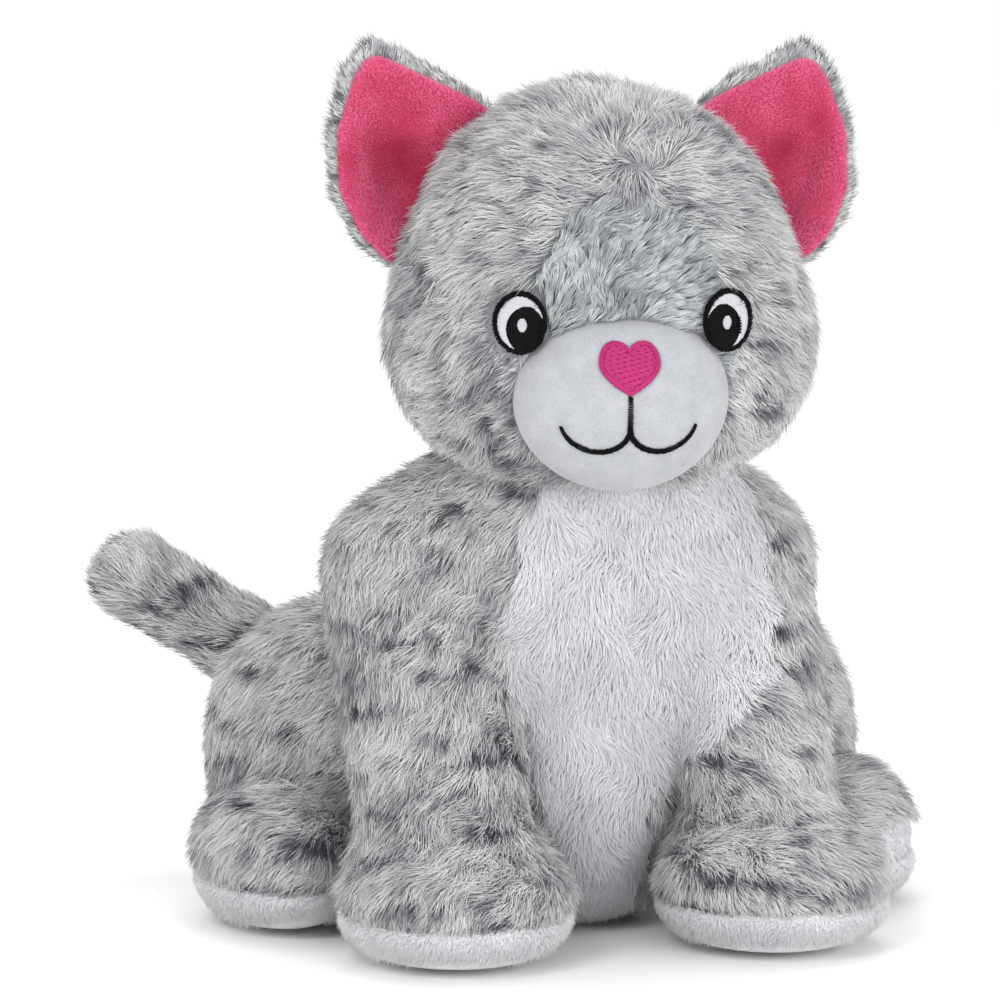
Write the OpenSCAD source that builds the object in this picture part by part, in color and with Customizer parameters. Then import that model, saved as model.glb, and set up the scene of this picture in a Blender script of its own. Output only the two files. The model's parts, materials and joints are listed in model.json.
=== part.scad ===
// Seated plush cat: fabric panels sewn over stuffing, with soft joints at the neck, ears, legs and tail.
// The cat faces -Y, +Z is up, and the origin is on the floor under the middle of the body.

/* [Head] */
// Half width of the skull
skull_r = 60; // [52:1:66]
// Height of the skull's centre above the floor
skull_z = 212; // [206:1:222]
// Distance of the skull's centre in front of the origin
skull_y = 36; // [30:1:42]
// Radius of a cheek
cheek_r = 46; // [40:1:50]
// Turn of the head at rest, towards the cat's right
head_turn = 8; // [0:1:15]
// Half width of the muzzle
muzzle_w = 34; // [28:1:38]
// Half height of the muzzle
muzzle_h = 28; // [24:1:31]
// Distance that the muzzle stands out in front of the skull's centre
muzzle_out = 69; // [64:1:76]
// Half width of the forehead panel
forehead_w = 27; // [20:1:30]

/* [Face] */
// Half distance between the eyes
eye_x = 32; // [28:1:36]
// Width of an eye with its outline
eye_w = 17; // [13:0.5:19]
// Height of an eye with its outline
eye_h = 19.5; // [15:0.5:22]
// Width of the embroidered outline of an eye
eye_line = 1.8; // [1.2:0.2:2.4]
// Width of the heart-shaped nose
nose_w = 19; // [14:1:22]
// Half width of the smile
smile_w = 20; // [14:1:23]
// Width of the mouth stitching
mouth_line_w = 2; // [1.4:0.2:2.6]
// Thickness of the embroidery
stitch_t = 1.2; // [0.8:0.2:2]

/* [Ears] */
// Height of an ear's tip above its base line
ear_len = 42; // [34:1:48]
// Width of an ear across its base
ear_w = 56; // [46:1:60]
// Thickness of each of an ear's two layers
ear_t = 4; // [3:0.5:5]
// Travel of an ear, forwards and back, in degrees
ear_swing = 20; // [10:1:25]

/* [Body] */
// Half width of the chest
chest_w = 58; // [50:1:64]
// Half depth of the chest
chest_d = 46; // [40:1:50]
// Half width of the rump
rump_w = 62; // [54:1:66]
// Half depth of the rump
rump_d = 54; // [48:1:60]
// Half width of the white chest panel at its widest
bib_w = 45; // [36:1:50]
// Radius of the flat panel that the body sits on
base_r = 32; // [24:1:36]
// Thickness of the flat panel that the body sits on
base_t = 3; // [2:0.5:5]
// Radius of the stuffed neck
neck_r = 28; // [22:1:30]
// Turn of the head each way, in degrees
neck_turn = 20; // [10:1:25]
// Nod of the head each way, in degrees
neck_nod = 6; // [4:1:10]

/* [Legs and tail] */
// Half distance between the shoulders
shoulder_x = 47; // [44:1:52]
// Height of the shoulders above the floor
shoulder_z = 106; // [100:1:112]
// Radius of a front leg at the shoulder
shoulder_r = 33; // [28:1:35]
// Radius of a front leg at the ankle
ankle_r = 29; // [24:1:31]
// Half width of a front paw
paw_w = 42; // [36:1:44]
// Half length of a front paw
paw_l = 42; // [36:1:46]
// Swing of a front leg forwards, in degrees
leg_swing = 25; // [10:1:30]
// Radius of a haunch, seen from above
haunch_r = 43; // [38:1:45]
// Half distance between the hips
hip_x = 64; // [58:1:66]
// Half width of a hind foot
foot_w = 27; // [22:1:30]
// Half length of a hind foot
foot_l = 44; // [36:1:48]
// Turn of a hind leg outwards, in degrees
hind_turn = 14; // [5:1:20]
// Radius of the tail
tail_r = 17; // [13:0.5:19]
// Reach of the tail's tip to the cat's right of its root
tail_reach = 108; // [90:1:120]
// Swing of the tail backwards, in degrees
tail_swing = 35; // [10:1:45]

/* [Fabric] */
// Thickness of the long-pile fabric with its pile
pile_t = 8; // [5:0.5:10]
// Thickness of the short velour
velour_t = 3; // [2:0.5:4]
// Height of the white sole up the side of a paw
sole_h = 14; // [8:1:18]
// Clearance between pieces that move past each other
gap = 1; // [0.8:0.1:1.5]
// Clearance of the flat base panel in its opening
base_gap = 0.3; // [0.3:0.1:0.6]

/* [Hidden] */

// Facets of a round form, of the room cut for a moving one, and of the tail
round_fn = 20;
sweep_fn = 18;
tail_fn = 16;
// Facets of flat round outlines, large and small
outline_fn = 40;
detail_fn = 26;
// Extra room that covers the difference between two faceted forms
facet_room = 1;
far = 400;

neck = [0, -25, 150];
skull = [0, -skull_y, skull_z];
skull_size = [skull_r, skull_r - 2, skull_r];
cheek = skull + [21, -8, -22];
cheek_size = [cheek_r, cheek_r, cheek_r - 4];
muzzle_depth = 22;
muzzle = skull + [0, muzzle_depth - muzzle_out, -33];
muzzle_size = [muzzle_w, muzzle_depth, muzzle_h];
// The face is drawn in the XZ plane and carried back to here
face_back_y = -skull_y - 20;
forehead_back_y = -skull_y - 6;
crown_back_y = -skull_y + 14;
forehead = [0, muzzle.z + 6];
forehead_h = 50;

eye_z = skull_z - 9;
pupil_at = [eye_x - 1.4, eye_z - 0.4];
pupil_size = [0.36 * eye_w, 0.34 * eye_h];
highlight_at = [eye_x - 2.2, eye_z + 0.7];
highlight_size = [0.09 * eye_w, 0.1 * eye_h];
nose_z = muzzle.z + 10;
// The heart is two lobes drawn down to one point, all for a width of 20
heart_lobe = [4.8, 3.5];
heart_lobe_r = 5.2;
heart_point = [0, -8.2];
heart_point_r = 1;
smile_z = muzzle.z - 12;
smile_rise = 3;

ear_round = 6;
ear_root = skull + [51, 8, 26];
ear_lean = 57;
ear_twist = 10;
// Width of the grey edge left round an ear's lining
ear_border = 4;

chest = [0, -14, 104];
chest_size = [chest_w, chest_d, 50];
tummy = [0, 4, 60];
tummy_size = [44, 48, 62];
back = [0, -8, 96];
back_size = [chest_w - 12, chest_d - 10, 38];
rump = [0, 34, 48];
rump_size = [rump_w, rump_d, 56];
base_at = [0, 24, 0];
// Half widths of the white chest panel at heights from its lower end to its top
bib_outline = [[24, 24], [30, 56], [bib_w - 6, 84], [bib_w, 112], [bib_w - 3, 138], [12, 143]];

shoulder = [shoulder_x, -12, shoulder_z];
ankle = [shoulder_x + 5, -45, 38];
paw = [shoulder_x + 5, -60, 22];
paw_size = [paw_w, paw_l, 25];
hip = [hip_x, 47, 52];
haunch_size = [haunch_r, haunch_r, 48];
foot = hip + [27, -31, -28];
foot_size = [foot_w, foot_l, 27];
// A sole reaches this far past the widest part of its paw
sole_margin = 2;
tail_root = [-8, 92, 42];
tail_spine = [for (step = [[0, 0, 0], [0.32, 17, 14], [0.66, 23, 33], [1, 25, 56]])
    tail_root + [-step.x * tail_reach, step.y, step.z]];
// The tail is open where it meets the rump
tail_open_x = tail_root.x + 4;

grey = [0.66, 0.67, 0.69];
light_grey = [0.72, 0.73, 0.74];
white = [0.9, 0.91, 0.92];
pink = [0.85, 0.28, 0.5];
heart_pink = [0.81, 0.2, 0.49];
black = [0.08, 0.08, 0.09];
fill_white = [0.95, 0.95, 0.93];

// ---- helpers ----

// A soft form, taken as one closed mesh at its own size
module soft() resize([0, 0, 0]) children();

module ellipsoid(centre, size, fn = round_fn) translate(centre) scale(size) sphere(r = 1, $fn = fn);

// A copy for each side: s is -1 for the cat's right, +1 for its left
module sided(s) mirror([s < 0 ? 1 : 0, 0, 0]) children();

// Turns its children about a line through a point
module about(point, turn) translate(point) rotate(turn) translate(-point) children();

module turned_head() about(neck, [0, 0, -head_turn]) children();

// Everything in front of a height profile drawn in the XZ plane
module outline_prism(from_y = -far, to_y = 0) translate([0, to_y, 0]) rotate([90, 0, 0])
    linear_extrude(to_y - from_y) children();

// ---- forms: the outside of each stuffed shape, g millimetres larger ----

module skull_form(g = 0, fn = round_fn) hull() {
    ellipsoid(skull, skull_size + [g, g, g], fn);
    for (s = [-1, 1]) sided(s) ellipsoid(cheek, cheek_size + [g, g, g], fn);
}

module muzzle_form(g = 0, fn = round_fn) ellipsoid(muzzle, muzzle_size + [g, g, g], fn);

module head_form(g = 0, fn = round_fn) {
    skull_form(g, fn);
    muzzle_form(g, fn);
}

// The tip stands over the inner end of the base, so the outer edge is the long one
module ear_outline(inset = 0) offset(r = -inset) offset(r = ear_round) offset(r = -ear_round)
    polygon([[-ear_w / 2, -4], [0, -7], [ear_w / 2, -4], [ear_w / 2 + 2, 8],
             [-ear_w / 2 + 12, ear_len], [-ear_w / 2 - 4, ear_len], [-ear_w / 2 - 3, 10]]);

// An ear stands in its own XZ plane at its root, leaning outwards
module ear_frame() translate(ear_root) rotate([0, ear_lean, 0]) rotate([0, 0, -ear_twist]) children();

module ear_slab(y0, y1, g = 0, inset = 0) translate([0, y1 + g, 0]) rotate([90, 0, 0])
    linear_extrude(y1 - y0 + 2 * g) offset(r = g) ear_outline(inset);

module torso_form(g = 0) {
    hull() {
        ellipsoid(chest, chest_size + [g, g, g]);
        ellipsoid(tummy, tummy_size + [g, g, g]);
    }
    hull() {
        ellipsoid(rump, rump_size + [g, g, g]);
        ellipsoid(back, back_size + [g, g, g]);
    }
}

module front_leg_form(g = 0, fn = round_fn) {
    hull() {
        translate(shoulder) sphere(r = shoulder_r + g, $fn = fn);
        translate(ankle) sphere(r = ankle_r + g, $fn = fn);
    }
    ellipsoid(paw, paw_size + [g, g, g], fn);
}

module hind_leg_form(g = 0, fn = round_fn) {
    ellipsoid(hip, haunch_size + [g, g, g], fn);
    ellipsoid(foot, foot_size + [g, g, g], fn);
}

module tail_form(g = 0, fn = tail_fn) for (i = [1:3]) hull() {
    translate(tail_spine[i - 1]) sphere(r = tail_r + g, $fn = fn);
    translate(tail_spine[i]) sphere(r = tail_r + g, $fn = fn);
}

// ---- room that moving bodies need ----

module head_sweep() hull() for (nod = [-neck_nod, 0, neck_nod], turn = [-neck_turn, 0, neck_turn])
    about(neck, [nod, 0, turn - head_turn]) skull_form(gap + facet_room, sweep_fn);

module ear_sweep() ear_frame() hull() for (a = [-ear_swing, 0, ear_swing]) rotate([a, 0, 0])
    ear_slab(-ear_t, ear_t, gap);

module front_leg_sweep() hull() {
    translate(shoulder) sphere(r = shoulder_r + gap + facet_room, $fn = sweep_fn);
    for (a = [0, leg_swing / 2, leg_swing]) about(shoulder, [-a, 0, 0])
        translate(ankle) sphere(r = ankle_r + gap + facet_room, $fn = sweep_fn);
}

module hind_leg_sweep() {
    grown = [1, 1, 1] * (gap + facet_room);
    ellipsoid(hip, haunch_size + grown, sweep_fn);
    hull() for (a = [0, hind_turn / 2, hind_turn]) about(hip, [0, 0, a])
        ellipsoid(foot, foot_size + grown, sweep_fn);
}

module tail_sweep() hull() for (a = [0, tail_swing / 2, tail_swing], i = [0, 1])
    about(tail_root, [0, 0, -a]) translate(tail_spine[i])
        sphere(r = tail_r + gap + facet_room, $fn = sweep_fn);

module neck_room() translate(neck) sphere(r = neck_r + gap, $fn = round_fn);

module above_floor() translate([-far, -far, 0]) cube([2 * far, 2 * far, far]);

// ---- where the seams run ----

module muzzle_region() outline_prism(to_y = face_back_y) translate([0, muzzle.z])
    scale([muzzle_w - 1, muzzle_h - 1]) circle(r = 1, $fn = outline_fn);

module forehead_region() outline_prism(to_y = forehead_back_y) intersection() {
    translate(forehead) scale([forehead_w, forehead_h]) circle(r = 1, $fn = outline_fn);
    translate([-far, muzzle.z]) square([2 * far, far]);
}

module back_region() translate([-far, crown_back_y, 0]) cube([2 * far, far, far]);

// Everything on one side of the middle: s is -1 for the cat's right, +1 for its left
module half_space(s) sided(s) translate([0, -far, -far / 2]) cube([far, 2 * far, 2 * far]);

module bib_region() outline_prism(to_y = chest.y) for (s = [-1, 1]) mirror([s < 0 ? 1 : 0, 0])
    polygon(concat([[-1, bib_outline[0].y]], bib_outline, [[-1, bib_outline[len(bib_outline) - 1].y]]));

// ---- head pieces ----

module head_cuts() {
    neck_room();
    for (s = [-1, 1]) sided(s) ear_sweep();
}

module head_skin() difference() {
    skull_form();
    skull_form(-pile_t);
    head_cuts();
    muzzle_region();
    forehead_region();
}

module cheek_panel(s) color(grey) turned_head() soft() difference() {
    head_skin();
    back_region();
    half_space(-s);
}

module head_back_panel() color(grey) turned_head() soft() intersection() {
    head_skin();
    back_region();
}

module forehead_panel() color(light_grey) turned_head() soft() difference() {
    intersection() {
        skull_form();
        forehead_region();
    }
    skull_form(-pile_t);
    muzzle_region();
    head_cuts();
}

module muzzle_panel() color(white) turned_head() soft() difference() {
    intersection() {
        head_form();
        muzzle_region();
    }
    head_form(-velour_t);
}

module head_stuffing() color(fill_white) turned_head() soft() difference() {
    union() {
        skull_form(-pile_t);
        intersection() {
            head_form(-velour_t);
            muzzle_region();
        }
    }
    head_cuts();
}

// A thin piece of embroidery that follows the head's surface
module stitched() turned_head() soft() intersection() {
    difference() {
        head_form(stitch_t);
        head_form();
    }
    outline_prism(to_y = face_back_y) children();
}

module eye_oval(inset = 0) translate([eye_x, eye_z])
    scale([eye_w / 2 - inset, eye_h / 2 - inset]) circle(r = 1, $fn = detail_fn);

// The pupil runs into the outline on its inner side and never over it
module pupil_oval() intersection() {
    translate(pupil_at) scale(pupil_size) circle(r = 1, $fn = detail_fn);
    eye_oval(eye_line);
}

module highlight_oval() translate(highlight_at) scale(highlight_size) circle(r = 1, $fn = detail_fn);

module eye_outline(s) color(black) stitched() mirror([s < 0 ? 1 : 0, 0]) difference() {
    eye_oval();
    eye_oval(eye_line);
}

module eye_white(s) color(white) stitched() mirror([s < 0 ? 1 : 0, 0]) difference() {
    eye_oval(eye_line);
    pupil_oval();
}

module eye_pupil(s) color(black) stitched() mirror([s < 0 ? 1 : 0, 0]) difference() {
    pupil_oval();
    highlight_oval();
}

module eye_highlight(s) color(white) stitched() mirror([s < 0 ? 1 : 0, 0]) highlight_oval();

module heart_outline() translate([0, nose_z]) scale(nose_w / 20) for (s = [-1, 1]) hull() {
    translate([s * heart_lobe.x, heart_lobe.y]) circle(r = heart_lobe_r, $fn = detail_fn);
    translate(heart_point) circle(r = heart_point_r, $fn = detail_fn);
}

module nose_heart() color(heart_pink) stitched() heart_outline();

module mouth_line() color(black) stitched() difference() {
    union() {
        translate([-mouth_line_w / 2, smile_z]) square([mouth_line_w, nose_z - smile_z]);
        for (s = [-1, 1]) translate([s * smile_w / 2, smile_z + smile_rise]) difference() {
            circle(r = smile_w / 2 + mouth_line_w / 2, $fn = outline_fn);
            circle(r = smile_w / 2 - mouth_line_w / 2, $fn = outline_fn);
            translate([-smile_w, 0]) square(2 * smile_w);
        }
    }
    offset(r = base_gap) heart_outline();
}

module ear_outer(s) color(grey) turned_head() sided(s) ear_frame() soft() ear_slab(0, ear_t);

module ear_lining(s) color(pink) turned_head() sided(s) ear_frame() soft()
    ear_slab(-ear_t, 0, 0, ear_border);

// ---- neck and body ----

module neck_stuffing() color(fill_white) translate(neck) sphere(r = neck_r, $fn = round_fn);

module body_cuts() {
    head_sweep();
    neck_room();
    for (s = [-1, 1]) sided(s) {
        front_leg_sweep();
        hind_leg_sweep();
    }
    tail_sweep();
    translate(base_at - [0, 0, 1]) cylinder(r = base_r + base_gap, h = base_t + 1, $fn = outline_fn);
}

module body_skin() difference() {
    intersection() {
        torso_form();
        above_floor();
    }
    torso_form(-pile_t);
    body_cuts();
}

module chest_panel() color(white) soft() intersection() {
    body_skin();
    bib_region();
}

module side_panel(s) color(grey) soft() difference() {
    body_skin();
    bib_region();
    half_space(-s);
}

module base_panel() color(white) translate(base_at) cylinder(r = base_r, h = base_t, $fn = outline_fn);

module body_stuffing() color(fill_white) soft() difference() {
    intersection() {
        torso_form(-pile_t);
        above_floor();
    }
    body_cuts();
}

// ---- legs and tail ----

// The white sole covers the lowest part of the paw or foot that stands on it
module sole_region(at, size) translate([at.x, at.y, sole_h - size.z]) linear_extrude(size.z)
    scale([size.x + sole_margin, size.y + sole_margin]) circle(r = 1, $fn = outline_fn);

// The shell between a form and the stuffing in it, where the sole is
module sole_shell(at, size) difference() {
    intersection() {
        children(0);
        sole_region(at, size);
        above_floor();
    }
    intersection() {
        children(1);
        translate([0, 0, velour_t]) above_floor();
    }
}

module front_leg_skin(s) color(grey) soft() sided(s) difference() {
    front_leg_form();
    front_leg_form(-pile_t);
    sole_region(paw, paw_size);
}

module front_sole(s) color(white) soft() sided(s) sole_shell(paw, paw_size) {
    front_leg_form();
    front_leg_form(-velour_t);
}

module front_leg_stuffing(s) color(fill_white) soft() sided(s) difference() {
    front_leg_form(-pile_t);
    sole_region(paw, paw_size);
}

module hind_leg_skin(s) color(grey) soft() sided(s) difference() {
    hind_leg_form();
    hind_leg_form(-pile_t);
    sole_region(foot, foot_size);
}

module hind_sole(s) color(white) soft() sided(s) sole_shell(foot, foot_size) {
    hind_leg_form();
    hind_leg_form(-velour_t);
}

module hind_leg_stuffing(s) color(fill_white) soft() sided(s) difference() {
    hind_leg_form(-pile_t);
    sole_region(foot, foot_size);
}

module tail_end() translate([tail_open_x, -far, -far]) cube(2 * far);

module tail_skin() color(grey) soft() difference() {
    tail_form();
    tail_form(-pile_t);
    tail_end();
}

module tail_stuffing() color(fill_white) soft() difference() {
    tail_form(-pile_t);
    tail_end();
}

head_back_panel();
forehead_panel();
muzzle_panel();
head_stuffing();
nose_heart();
mouth_line();
neck_stuffing();
chest_panel();
base_panel();
body_stuffing();
tail_skin();
tail_stuffing();
for (s = [-1, 1]) {
    side = s < 0 ? "right" : "left";
    cheek_panel(s);
    side_panel(s);
    eye_outline(s);
    eye_white(s);
    eye_pupil(s);
    eye_highlight(s);
    ear_outer(s);
    ear_lining(s);
    front_leg_skin(s);
    front_sole(s);
    front_leg_stuffing(s);
    hind_leg_skin(s);
    hind_sole(s);
    hind_leg_stuffing(s);
}
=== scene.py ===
"""Looks of the seated plush cat: stuffed cores, pile of real strands, velour panels and embroidery."""

import json
import math

import bpy
import numpy as np
from mathutils import Matrix, Vector
from mathutils.kdtree import KDTree


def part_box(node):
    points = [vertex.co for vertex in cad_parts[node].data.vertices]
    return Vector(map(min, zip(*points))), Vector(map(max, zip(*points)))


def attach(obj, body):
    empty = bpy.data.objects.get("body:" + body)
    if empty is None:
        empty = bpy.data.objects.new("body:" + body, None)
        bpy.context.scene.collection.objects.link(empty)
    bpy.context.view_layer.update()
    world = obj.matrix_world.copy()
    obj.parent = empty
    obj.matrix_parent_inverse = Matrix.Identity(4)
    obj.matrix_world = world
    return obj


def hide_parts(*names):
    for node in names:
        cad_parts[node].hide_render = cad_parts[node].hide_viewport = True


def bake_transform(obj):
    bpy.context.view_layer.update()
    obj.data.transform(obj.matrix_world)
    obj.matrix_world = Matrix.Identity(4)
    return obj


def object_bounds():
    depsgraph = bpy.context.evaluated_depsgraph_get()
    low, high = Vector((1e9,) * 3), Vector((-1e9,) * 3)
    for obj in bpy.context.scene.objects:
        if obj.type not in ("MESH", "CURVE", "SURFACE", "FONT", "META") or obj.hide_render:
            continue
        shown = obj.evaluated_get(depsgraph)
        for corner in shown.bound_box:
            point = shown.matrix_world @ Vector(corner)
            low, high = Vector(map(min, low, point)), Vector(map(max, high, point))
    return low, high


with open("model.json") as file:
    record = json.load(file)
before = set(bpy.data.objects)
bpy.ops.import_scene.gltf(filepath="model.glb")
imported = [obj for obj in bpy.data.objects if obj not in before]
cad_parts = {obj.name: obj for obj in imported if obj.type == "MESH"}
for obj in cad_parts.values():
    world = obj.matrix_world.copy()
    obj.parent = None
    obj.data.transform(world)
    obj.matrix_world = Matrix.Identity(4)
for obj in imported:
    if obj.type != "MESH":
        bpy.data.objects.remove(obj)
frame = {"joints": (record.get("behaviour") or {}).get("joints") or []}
CAD_BOX = [list(corner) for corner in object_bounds()]

MM = 0.001
SIDES = {"right": -1.0, "left": 1.0}
STRAND_SHARE = 1.0

# ---- places, in millimetres, from the frame


def node_box(name):
    low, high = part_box(name)
    return np.array(low) / MM, np.array(high) / MM


def node_mid(name):
    low, high = node_box(name)
    return (low + high) / 2


def joint_at(name):
    for joint in frame["joints"]:
        if joint["name"] == name:
            return np.array(joint["pos_m"]) / MM
    raise KeyError(name)


def mirrored(point, side):
    return np.array([point[0] * side, point[1], point[2]])


NECK = joint_at("neck_turn")
SHOULDER = joint_at("front_leg_swing_left")
HIP = joint_at("hind_leg_splay_left")
TAIL_ROOT = joint_at("tail_swing")
nod_axis = next(j["axis"] for j in frame["joints"] if j["name"] == "neck_nod")
HEAD_TURN = math.atan2(nod_axis[1], nod_axis[0])
PAW = node_mid("front_sole_left") * [1, 1, 0] + [0, 0, 22]
FOOT = node_mid("hind_sole_left") * [1, 1, 0] + [0, 0, 24]
TAIL_LOW, TAIL_HIGH = node_box("tail_skin")
SKULL = np.array([0.0, -36.0, 212.0])

# ---- small vector helpers


def unit(v):
    return v / np.maximum(np.linalg.norm(v, axis=-1, keepdims=True), 1e-9)


def turn_z(points, angle, centre):
    c, s = math.cos(angle), math.sin(angle)
    d = points - centre
    return np.stack([d[:, 0] * c - d[:, 1] * s, d[:, 0] * s + d[:, 1] * c, d[:, 2]], 1) + centre


def smooth(low, high, x):
    t = np.clip((x - low) / (high - low), 0, 1)
    return t * t * (3 - 2 * t)


def waves(points, size, seed, count=14):
    """Seeded smooth noise of about unit spread whose features are about size millimetres."""
    rng = np.random.default_rng(seed)
    direction = unit(rng.normal(size=(count, 3)))
    pace = 2 * math.pi / (size * 2) * rng.uniform(0.6, 1.5, count)
    phase = rng.uniform(0, 2 * math.pi, count)
    return np.sin(points @ (direction * pace[:, None]).T + phase).sum(1) / math.sqrt(count / 2)


# ---- soft forms as distance fields


def ellipsoid(p, centre, size):
    q = p - centre
    k0 = np.linalg.norm(q / size, axis=1)
    k1 = np.linalg.norm(q / (np.array(size) ** 2), axis=1)
    return k0 * (k0 - 1) / np.maximum(k1, 1e-9)


def limb(p, a, b, ra, rb):
    a, b = np.array(a, float), np.array(b, float)
    ab = b - a
    t = np.clip(((p - a) @ ab) / (ab @ ab), 0, 1)
    return np.linalg.norm(p - a - t[:, None] * ab, axis=1) - (ra + (rb - ra) * t)


def join(a, b, k):
    """The union of two fields with a fillet of about k millimetres."""
    h = np.maximum(k - np.abs(a - b), 0) / k
    return np.minimum(a, b) - h * h * k / 4


def overlap(a, b, k):
    return -join(-a, -b, k)


def tail_points():
    reach = TAIL_ROOT[0] - TAIL_LOW[0] - 17
    steps = [(0, 0, 0), (-0.32, 14, 14), (-0.66, 18, 33), (-1, 20, 56)]
    return [TAIL_ROOT + [sx * reach, dy, dz] for sx, dy, dz in steps]


TAIL = tail_points()


def torso_field(p):
    chest = ellipsoid(p, [0, -14, 108], [50, 39, 44])
    tummy = ellipsoid(p, [0, -2, 58], [42, 45, 58])
    rump = ellipsoid(p, [0, 34, 52], [58, 50, 54])
    back = ellipsoid(p, [0, 2, 92], [44, 34, 40])
    collar = ellipsoid(p, [0, -17, 122], [54, 35, 28])
    nape = ellipsoid(p, [0, -16, 144], [45, 38, 21])
    front = join(join(join(chest, collar, 10), nape, 14), tummy, 22)
    d = join(front, join(rump, back, 24), 18)
    return overlap(d, 1.0 - p[:, 2], 6)


def front_leg_field(p, side):
    q = (p + [3, 0, 0]) * [side, 1, 1]
    ankle = PAW + [-1, 13, 17]
    slim = 2.5 if side > 0 else 0
    leg = limb(q, SHOULDER + [3, 0, 8], ankle, 27 - slim, 24 - slim)
    paw = ellipsoid(q, PAW + [-1, 0, -2], [33.5, 35, 21])
    d = join(leg, paw, 12)
    return overlap(d, 0.6 - p[:, 2], 5)


def hind_leg_field(p, side):
    q = p * [side, 1, 1]
    haunch = ellipsoid(q, HIP, [40, 39, 44])
    foot = ellipsoid(q, FOOT + [3, -2, -2], [23, 38, 22])
    d = join(haunch, foot, 10)
    return overlap(d, 0.6 - p[:, 2], 5)


def tail_field(p):
    d = limb(p, TAIL[0], TAIL[1], 12, 11.5)
    d = join(d, limb(p, TAIL[1], TAIL[2], 11.5, 11), 4)
    return join(d, limb(p, TAIL[2], TAIL[3], 11, 11), 4)


def body_parts(p):
    """Distance to each stuffed part of the body, in a fixed order."""
    return np.stack([torso_field(p), front_leg_field(p, -1), front_leg_field(p, 1),
                     hind_leg_field(p, -1), hind_leg_field(p, 1), tail_field(p)])


BODY_PARTS = ["torso", "front_leg_right", "front_leg_left", "hind_leg_right", "hind_leg_left", "tail"]


def body_field(p):
    """The whole sewn body, filleted softly at the shoulders and more sharply lower down."""
    parts = body_parts(p)
    soft = 5 + 13 * smooth(70, 115, p[:, 2])
    d = parts[0]
    for leg in parts[1:3]:
        d = join(d, leg, soft)
    for leg in parts[3:5]:
        d = join(d, leg, 15)
    return join(d, parts[5], 6)


def part_field(index):
    """One body part: the shared outer surface near it, closed by its own form where it meets the rest."""
    def field(p):
        return overlap(body_field(p), body_parts(p)[index] - 4, 2)
    return field


def head_local(p):
    return turn_z(p, -HEAD_TURN, NECK)


def head_field_local(q):
    side = np.abs(q[:, 0])
    skull = ellipsoid(q, SKULL + [-1, 0, 1], [55, 53, 54])
    m = np.stack([side, q[:, 1], q[:, 2]], 1)
    cheek = ellipsoid(m, [20, -43, 188], [42.5, 42, 35])
    brow = ellipsoid(m, [16, -62, 222], [30, 26, 26])
    jaw = ellipsoid(q, [0, -36, 172], [46, 44, 24])
    d = join(join(skull, cheek, 22), jaw, 18)
    return join(d, brow, 16)


def head_field(p):
    return head_field_local(head_local(p))


def gradient(field, points, step=0.25):
    out = np.empty_like(points)
    for axis in range(3):
        d = np.zeros(3)
        d[axis] = step
        out[:, axis] = field(points + d) - field(points - d)
    return out / (2 * step)


def surface_net(field, low, high, step):
    """Quads on the zero surface of a field, with their vertices pulled onto it."""
    low, high = np.array(low, float), np.array(high, float)
    shape = np.ceil((high - low) / step).astype(int) + 1
    axes = [low[i] + step * np.arange(shape[i]) for i in range(3)]
    grid = np.stack(np.meshgrid(*axes, indexing="ij"), -1).reshape(-1, 3)
    values = np.concatenate([field(part) for part in np.array_split(grid, max(1, len(grid) // 200000))])
    values = values.reshape(shape)
    inside = values < 0
    cells = tuple(shape - 1)
    total, count = np.zeros(cells + (3,)), np.zeros(cells)
    index = np.stack(np.meshgrid(*[np.arange(n) for n in shape], indexing="ij"), -1).astype(float)
    quads = []
    for axis in range(3):
        a = [slice(None)] * 3
        b = [slice(None)] * 3
        a[axis], b[axis] = slice(0, -1), slice(1, None)
        va, vb = values[tuple(a)], values[tuple(b)]
        crossing = inside[tuple(a)] != inside[tuple(b)]
        t = np.where(crossing, va / np.where(crossing, va - vb, 1), 0)
        at = index[tuple(a)].copy()
        at[..., axis] += t
        at *= crossing[..., None]
        u, v = [i for i in range(3) if i != axis]
        for du in (0, 1):
            for dv in (0, 1):
                s = [slice(None)] * 3
                s[u] = slice(du, shape[u] - 1 + du)
                s[v] = slice(dv, shape[v] - 1 + dv)
                total += at[tuple(s)]
                count += crossing[tuple(s)]
        where = np.argwhere(crossing)
        keep = (where[:, u] > 0) & (where[:, v] > 0)
        keep &= (where[:, u] < shape[u] - 1) & (where[:, v] < shape[v] - 1)
        where = where[keep]
        ring = []
        for du, dv in ((-1, -1), (0, -1), (0, 0), (-1, 0)):
            c = where.copy()
            c[:, u] += du
            c[:, v] += dv
            ring.append(np.ravel_multi_index(c.T, cells))
        ring = np.stack(ring, 1)
        flip = inside[tuple(where.T)] == (axis == 1)
        ring[flip] = ring[flip][:, ::-1]
        quads.append(ring)
    quads = np.concatenate(quads)
    used, quads = np.unique(quads, return_inverse=True)
    quads = quads.reshape(-1, 4)
    points = (total.reshape(-1, 3)[used] / count.reshape(-1)[used][:, None]) * step + low
    for _ in range(3):
        g = gradient(field, points)
        points -= g * (field(points) / np.maximum((g * g).sum(1), 0.2))[:, None]
    return points, quads


# ---- making mesh objects


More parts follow.
